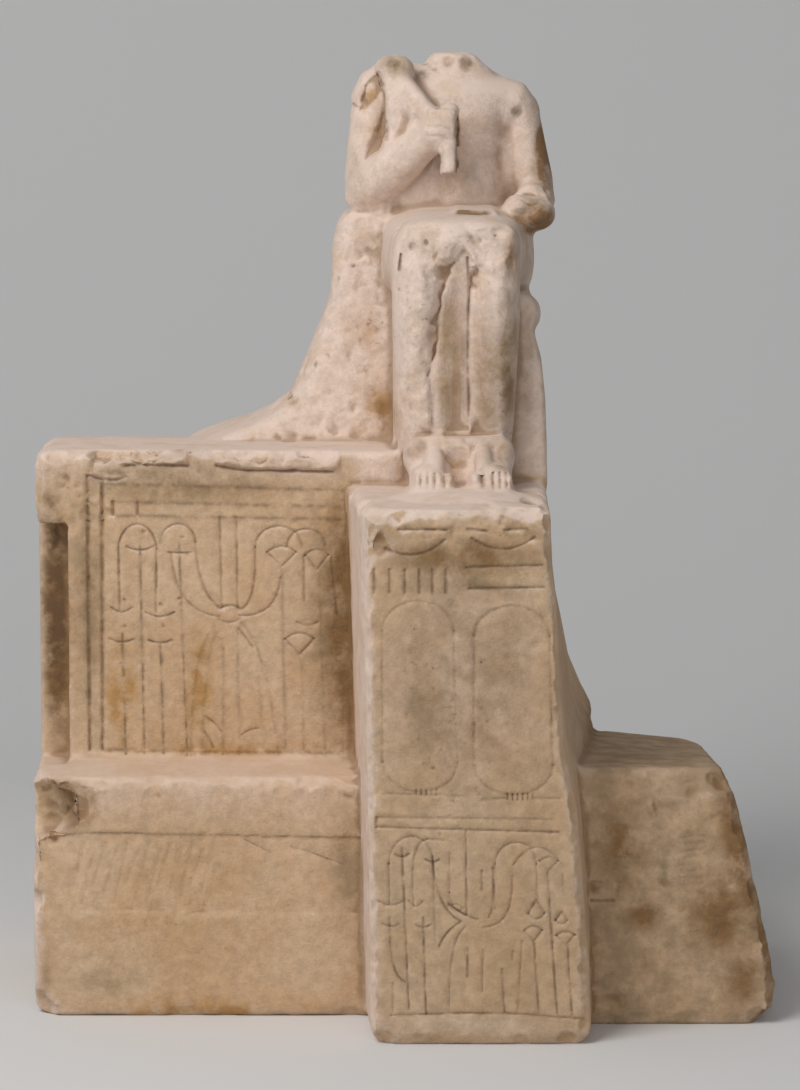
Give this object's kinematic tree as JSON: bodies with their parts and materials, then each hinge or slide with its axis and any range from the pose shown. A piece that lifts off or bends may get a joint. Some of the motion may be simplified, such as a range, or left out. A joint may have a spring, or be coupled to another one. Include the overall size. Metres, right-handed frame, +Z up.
{
  "type": "egyptian pharaoh statue",
  "caption": "Headless seated pharaoh in carved limestone, on a stepped plinth with panels of bound plants and empty name rings. It stands on its flat underside.",
  "frame": {"origin": "on the ground, under the middle of the stone's box", "axes": "+X to the viewer's right, +Y away from the viewer towards the flat back, +Z up"},
  "size_m": [0.754, 0.461, 0.97],
  "materials": {
    "limestone": "weathered pinkish tan limestone with ochre recesses and brown stains"
  },
  "bodies": {
    "root": {"seated_king_statue": "limestone"}
  },
  "joints": []
}
